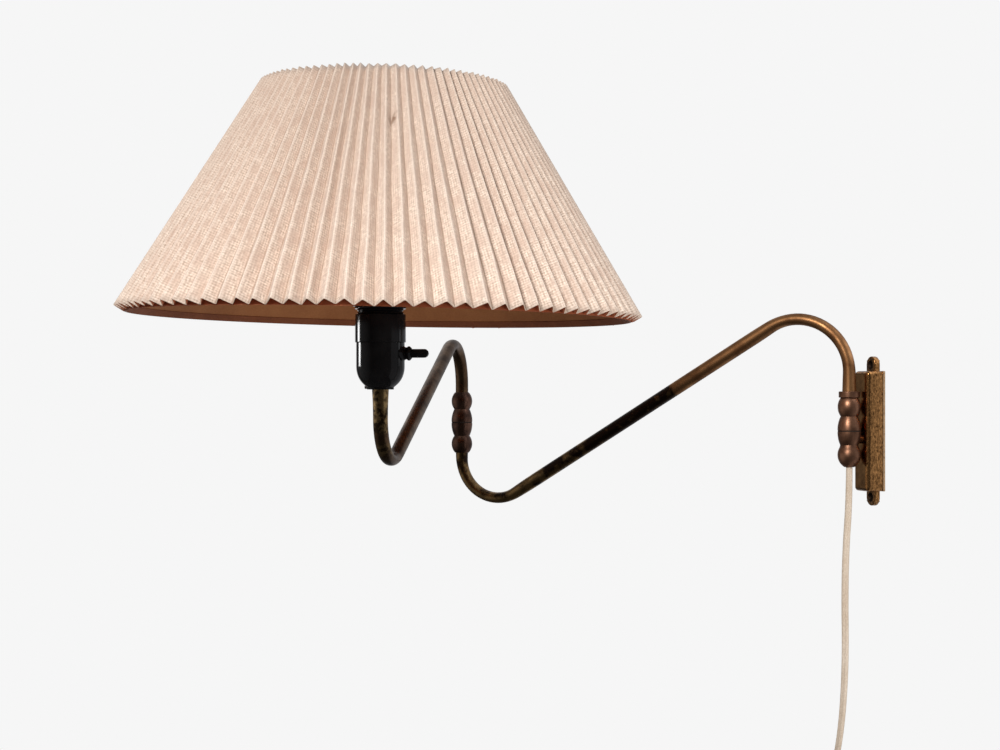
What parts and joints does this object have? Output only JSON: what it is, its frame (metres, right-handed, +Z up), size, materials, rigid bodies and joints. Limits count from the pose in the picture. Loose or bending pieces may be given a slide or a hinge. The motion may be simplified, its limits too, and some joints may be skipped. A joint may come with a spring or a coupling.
{
  "type": "articulated wall lamp",
  "caption": "Wall lamp with a brass bracket, beaded swivel joints, S-shaped tube arms, a black lampholder with a turn key, and a wide pleated conical shade.",
  "frame": {"origin": "on the wall, at the middle of the bracket's back, level with the split of the wall joint", "axes": "+Y into the wall, -Y out of it, +Z up, +X to the right of someone who faces the wall"},
  "size_m": [0.4841, 0.6641, 0.7179],
  "materials": {
    "bracket_brass": "worn, speckled old brass",
    "aged_brass": "dark brown patina with worn golden patches",
    "machined_brass": "turned, plain",
    "steel": "plain",
    "frame_wire": "black lacquer",
    "shade_board": "brown lining board",
    "bakelite": "glossy black",
    "porcelain": "glazed white",
    "fibre": "dark fibre",
    "shade_linen": "pleated linen on a stiff backing",
    "cord_sheath": "ivory cord sheath, satin",
    "plug_plastic": "ivory plastic"
  },
  "bodies": {
    "root": {"back_plate": "bracket_brass", "mounting_strap": "bracket_brass", "bracket_body": "bracket_brass", "bracket_screws": "steel", "bracket_stud": "machined_brass", "wall_lower_knuckle": "aged_brass", "wall_washer": "fibre", "wall_pivot_tube": "machined_brass", "wall_pivot_nut": "machined_brass", "cord_gland": "cord_sheath", "column_lead": "cord_sheath", "cord_drop": "cord_sheath", "cord_coil": "cord_sheath", "cord_tail": "cord_sheath", "coil_tie": "plug_plastic", "plug_body": "plug_plastic", "plug_pins": "machined_brass"},
    "inner_arm": {"wall_upper_knuckle": "aged_brass", "wall_collar": "aged_brass", "inner_arm_tube": "aged_brass", "inner_arm_lead": "cord_sheath", "elbow_lower_knuckle": "aged_brass", "elbow_pivot_tube": "machined_brass", "elbow_washer": "fibre", "elbow_pivot_nut": "machined_brass"},
    "outer_arm": {"elbow_upper_knuckle": "aged_brass", "outer_arm_tube": "aged_brass", "holder_nipple": "machined_brass", "holder_lock_nut": "machined_brass", "socket_shell": "machined_brass", "centre_contact": "machined_brass", "terminal_screws": "machined_brass", "holder_set_screw": "steel", "shade_fitter": "frame_wire", "shade_spokes": "frame_wire", "shade_top_ring": "frame_wire", "shade_lining": "shade_board", "holder_cap": "bakelite", "holder_skirt": "bakelite", "shade_ring_lower": "bakelite", "shade_ring_upper": "bakelite", "switch_bushing": "bakelite", "switch_body": "bakelite", "socket_insert": "porcelain", "pleated_shade": "shade_linen", "outer_arm_lead": "cord_sheath", "holder_wires": "cord_sheath"},
    "switch_key": {"switch_key": "bakelite"}
  },
  "joints": [
    {"name": "wall_swivel", "type": "hinge", "parent": "root", "child": "inner_arm", "pos_m": [0, -0.0292, 0], "axis": [0, 0, 1], "range_deg": [-39.3, 130.7]},
    {"name": "elbow_swivel", "type": "hinge", "parent": "inner_arm", "child": "outer_arm", "pos_m": [-0.27805, -0.30053, 0.0047], "axis": [0, 0, 1], "range_deg": [-235.8, 24.2]},
    {"name": "switch_turn", "type": "hinge", "parent": "outer_arm", "child": "switch_key", "pos_m": [-0.01798, -0.45008, 0.0659], "axis": [0.4985, 0.8669, 0], "continuous": true}
  ]
}
